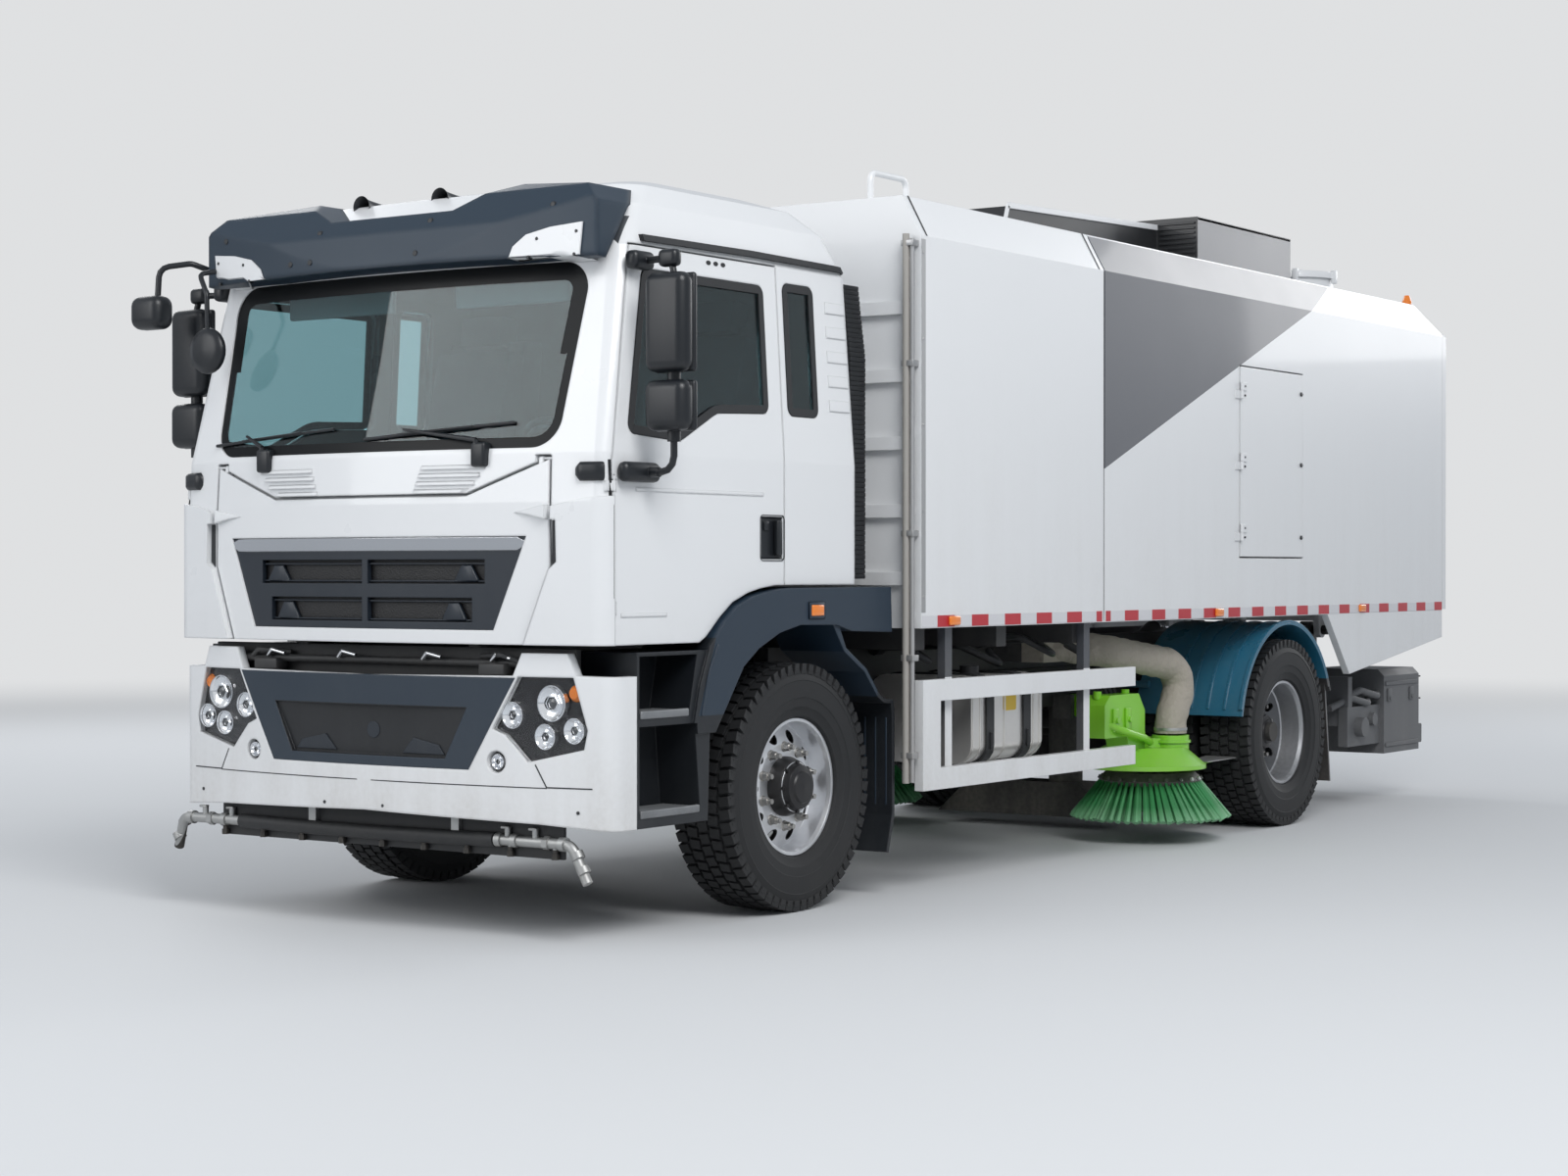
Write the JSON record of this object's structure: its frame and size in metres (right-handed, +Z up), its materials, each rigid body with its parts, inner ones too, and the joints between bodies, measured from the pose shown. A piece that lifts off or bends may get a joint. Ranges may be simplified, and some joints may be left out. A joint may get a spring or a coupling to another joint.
{
  "type": "street sweeper truck",
  "caption": "Two-axle street sweeper truck with tilting cab, tipping hopper with rear door, side brushes, suction nozzle, roof silencer and front spray bar.",
  "frame": {"origin": "on the ground below the middle of the truck's length and width", "axes": "+Z up, the cab's front faces -Y, +X is the driver's side (the left of the truck)"},
  "size_m": [2.81, 8.548, 3.4],
  "materials": {
    "white_paint": "gloss",
    "dark_plastic": "textured",
    "slate_plastic": "satin",
    "chassis_paint": "satin",
    "grey_paint": "satin",
    "teal_paint": "gloss",
    "lime_paint": "gloss",
    "bristle": "rough",
    "glass": "clear",
    "lamp": "clear",
    "tyre": "rubber",
    "rim": "satin",
    "tank": "brushed",
    "pipe": "galvanised",
    "iron": "rough",
    "cabin": "textured",
    "rod": "polished",
    "hose": "matt"
  },
  "bodies": {
    "chassis": {"chassis_frame": "chassis_paint", "engine": "iron", "axles": "iron", "front_bumper": "white_paint", "bumper_centre": "slate_plastic", "lamps": "lamp", "spray_bar": "pipe", "step_fenders": "slate_plastic", "side_guards": "white_paint", "fuel_tank": "tank", "rear_fenders": "teal_paint", "front_module": "white_paint", "suction_gear": "hose", "tail_guard": "chassis_paint"},
    "knuckle_left": {"knuckle_left": "iron"},
    "knuckle_right": {"knuckle_right": "iron"},
    "front_wheel_left": {"front_tyre_left": "tyre", "front_rim_left": "rim"},
    "front_wheel_right": {"front_tyre_right": "tyre", "front_rim_right": "rim"},
    "rear_wheels_left": {"rear_tyres_left": "tyre", "rear_rims_left": "rim"},
    "rear_wheels_right": {"rear_tyres_right": "tyre", "rear_rims_right": "rim"},
    "cab": {"cab_shell": "white_paint", "cab_glass": "glass", "roof_visor": "slate_plastic", "cab_interior": "cabin"},
    "front_flap": {"front_flap": "white_paint", "grille": "dark_plastic"},
    "door_left": {"door_left": "white_paint", "door_glass_left": "glass", "mirrors_left": "dark_plastic"},
    "door_right": {"door_right": "white_paint", "door_glass_right": "glass", "mirrors_right": "dark_plastic"},
    "hopper": {"hopper_body": "white_paint", "roof_silencer": "grey_paint"},
    "rear_door": {"rear_door": "white_paint"},
    "service_door_left": {"service_door_left": "white_paint"},
    "service_door_right": {"service_door_right": "white_paint"},
    "brush_arm_left": {"brush_arm_left": "lime_paint"},
    "brush_arm_right": {"brush_arm_right": "lime_paint"},
    "brush_left": {"brush_left": "bristle"},
    "brush_right": {"brush_right": "bristle"},
    "lift_barrels": {"lift_barrels": "chassis_paint"},
    "lift_rods": {"lift_rods": "rod"}
  },
  "joints": [
    {"name": "steer_left", "type": "hinge", "parent": "chassis", "child": "knuckle_left", "pos_m": [0.8, -2.825, 0.525], "axis": [0, 0, 1], "range_deg": [-35, 35]},
    {"name": "steer_right", "type": "hinge", "parent": "chassis", "child": "knuckle_right", "pos_m": [-0.8, -2.825, 0.525], "axis": [0, 0, 1], "range_deg": [-35, 35]},
    {"name": "front_wheel_left_spin", "type": "hinge", "parent": "knuckle_left", "child": "front_wheel_left", "pos_m": [0.985, -2.825, 0.525], "axis": [1, 0, 0], "continuous": true},
    {"name": "front_wheel_right_spin", "type": "hinge", "parent": "knuckle_right", "child": "front_wheel_right", "pos_m": [-0.985, -2.825, 0.525], "axis": [1, 0, 0], "continuous": true},
    {"name": "rear_wheels_left_spin", "type": "hinge", "parent": "chassis", "child": "rear_wheels_left", "pos_m": [0.9285, 1.875, 0.525], "axis": [1, 0, 0], "continuous": true},
    {"name": "rear_wheels_right_spin", "type": "hinge", "parent": "chassis", "child": "rear_wheels_right", "pos_m": [-0.9285, 1.875, 0.525], "axis": [1, 0, 0], "continuous": true},
    {"name": "cab_tilt", "type": "hinge", "parent": "chassis", "child": "cab", "pos_m": [0, -4.1, 0.915], "axis": [1, 0, 0], "range_deg": [0, 45]},
    {"name": "front_flap_open", "type": "hinge", "parent": "cab", "child": "front_flap", "pos_m": [0, -4.187, 1.868], "axis": [-1, 0, 0], "range_deg": [0, 75]},
    {"name": "door_left_open", "type": "hinge", "parent": "cab", "child": "door_left", "pos_m": [1.138, -4.105, 1.9], "axis": [0, 0, -1], "range_deg": [0, 70]},
    {"name": "door_right_open", "type": "hinge", "parent": "cab", "child": "door_right", "pos_m": [-1.138, -4.105, 1.9], "axis": [0, 0, 1], "range_deg": [0, 70]},
    {"name": "hopper_tip", "type": "hinge", "parent": "chassis", "child": "hopper", "pos_m": [0, 4.095, 1.05], "axis": [-1, 0, 0], "range_deg": [0, 45]},
    {"name": "rear_door_open", "type": "hinge", "parent": "hopper", "child": "rear_door", "pos_m": [0, 4.235, 2.958], "axis": [1, 0, 0], "range_deg": [0, 80]},
    {"name": "service_door_left_open", "type": "hinge", "parent": "hopper", "child": "service_door_left", "pos_m": [1.269, 1.213, 2], "axis": [0, 0, -1], "range_deg": [0, 110]},
    {"name": "service_door_right_open", "type": "hinge", "parent": "hopper", "child": "service_door_right", "pos_m": [-1.269, 1.213, 2], "axis": [0, 0, 1], "range_deg": [0, 110]},
    {"name": "brush_arm_left_lower", "type": "hinge", "parent": "chassis", "child": "brush_arm_left", "pos_m": [0.5, 0.735, 0.72], "axis": [0, 1, 0], "range_deg": [0, 6.5]},
    {"name": "brush_arm_right_lower", "type": "hinge", "parent": "chassis", "child": "brush_arm_right", "pos_m": [-0.5, 0.735, 0.72], "axis": [0, -1, 0], "range_deg": [0, 6.5]},
    {"name": "brush_left_spin", "type": "hinge", "parent": "brush_arm_left", "child": "brush_left", "pos_m": [0.96, 0.735, 0.3], "axis": [0, 0, 1], "continuous": true},
    {"name": "brush_right_spin", "type": "hinge", "parent": "brush_arm_right", "child": "brush_right", "pos_m": [-0.96, 0.735, 0.3], "axis": [0, 0, 1], "continuous": true},
    {"name": "lift_barrels_swing", "type": "hinge", "parent": "chassis", "child": "lift_barrels", "pos_m": [0, 2.295, 0.76], "axis": [1, 0, 0], "range_deg": [0, 15.84]},
    {"name": "lift_rods_extend", "type": "slide", "parent": "lift_barrels", "child": "lift_rods", "axis": [0, 0.9439, 0.3304], "range_m": [0, 0.502]}
  ],
  "couplings": [
    {"joint": "steer_right", "follows": "steer_left", "ratio": 1},
    {"joint": "lift_barrels_swing", "follows": "hopper_tip", "ratio": 0.35187},
    {"joint": "lift_rods_extend", "follows": "hopper_tip", "m_per_rad": 0.63853}
  ]
}
